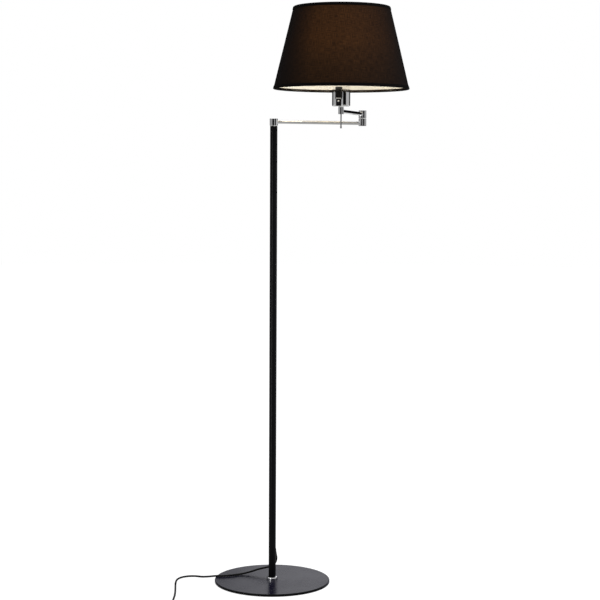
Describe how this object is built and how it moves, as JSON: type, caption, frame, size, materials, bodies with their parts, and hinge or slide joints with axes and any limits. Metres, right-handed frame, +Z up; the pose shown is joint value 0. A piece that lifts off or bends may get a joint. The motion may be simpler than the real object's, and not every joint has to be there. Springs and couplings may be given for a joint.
{
  "type": "adjustable arm floor lamp",
  "caption": "Floor lamp on a round plate, with a tube column, a folding arm on upright pivots, and a tapered fabric shade over a switched lampholder.",
  "frame": {"origin": "middle of the base's underside, on the floor, under the column", "axes": "+Z up along the column, +X to the side that the arm reaches, +Y to the back"},
  "size_m": [0.6012, 0.4676, 1.5001],
  "materials": {
    "black_steel": "fine textured powder coat",
    "pad": "matt foam",
    "plated_steel": "zinc plated",
    "chrome": "polished",
    "nylon": "satin",
    "black_plastic": "satin",
    "gloss_black": "gloss",
    "white_insulator": "matt",
    "brass": "plain",
    "white_wire": "white enamel",
    "black_fabric": "woven",
    "cream_lining": "matt",
    "opal_glass": "opal, lit",
    "cord_rubber": "satin",
    "wire_sleeve": "satin"
  },
  "bodies": {
    "stand": {"base_plate": "black_steel", "base_pad": "pad", "tie_screw": "plated_steel", "foot_insert": "plated_steel", "foot_collar": "chrome", "column_tube": "black_steel", "cord_grommet": "cord_rubber", "column_lead": "cord_rubber", "top_insert": "plated_steel", "column_spindle": "plated_steel", "column_washer": "nylon", "column_nut": "plated_steel", "cord_run": "cord_rubber", "cord_coil": "cord_rubber", "plug_body": "cord_rubber", "plug_pins": "plated_steel"},
    "first_arm_body": {"column_knuckle": "chrome", "column_cap": "chrome", "first_arm": "chrome", "first_lead": "cord_rubber", "elbow_lower": "chrome", "elbow_lower_cap": "chrome", "elbow_spindle": "plated_steel", "elbow_washer": "nylon", "elbow_nut": "plated_steel"},
    "second_arm_body": {"elbow_upper": "chrome", "elbow_upper_cap": "chrome", "second_arm": "chrome", "second_lead": "cord_rubber", "stem_knuckle": "chrome", "stem_plug": "chrome", "handle_rod": "chrome", "stem_washer": "nylon"},
    "head": {"lamp_stem": "plated_steel", "stem_nut": "plated_steel", "lamp_cup": "chrome", "cup_nut": "plated_steel", "holder_base": "black_plastic", "holder_core": "white_insulator", "holder_terminals": "brass", "stem_lead": "wire_sleeve", "holder_sleeve": "black_plastic", "screw_shell": "brass", "centre_contact": "brass", "shade_rings": "black_plastic", "shade_frame": "white_wire", "shade_top_wire": "white_wire", "shade_fabric": "black_fabric", "shade_lining": "cream_lining", "shade_hems": "black_fabric", "bulb_cap": "plated_steel", "bulb_tip": "black_plastic", "bulb_glass": "opal_glass", "switch_case": "gloss_black"},
    "paddle": {"switch_pin": "chrome", "switch_paddle": "gloss_black", "paddle_stud": "chrome"}
  },
  "joints": [
    {"name": "column_pivot", "type": "hinge", "parent": "stand", "child": "first_arm_body", "pos_m": [0, 0, 1.2145], "axis": [0, 0, 1], "range_deg": [-170, 170]},
    {"name": "elbow_pivot", "type": "hinge", "parent": "first_arm_body", "child": "second_arm_body", "pos_m": [0.2334, 0.08959, 1.2265], "axis": [0, 0, 1], "range_deg": [-46, 304]},
    {"name": "lamp_pivot", "type": "hinge", "parent": "second_arm_body", "child": "head", "pos_m": [0.17154, -0.09006, 1.2492], "axis": [0, 0, 1], "range_deg": [-170, 170]},
    {"name": "paddle_pivot", "type": "hinge", "parent": "head", "child": "paddle", "pos_m": [0.16455, -0.11614, 1.2702], "axis": [-0.9659, 0.2588, 0], "range_deg": [0, 12]}
  ]
}
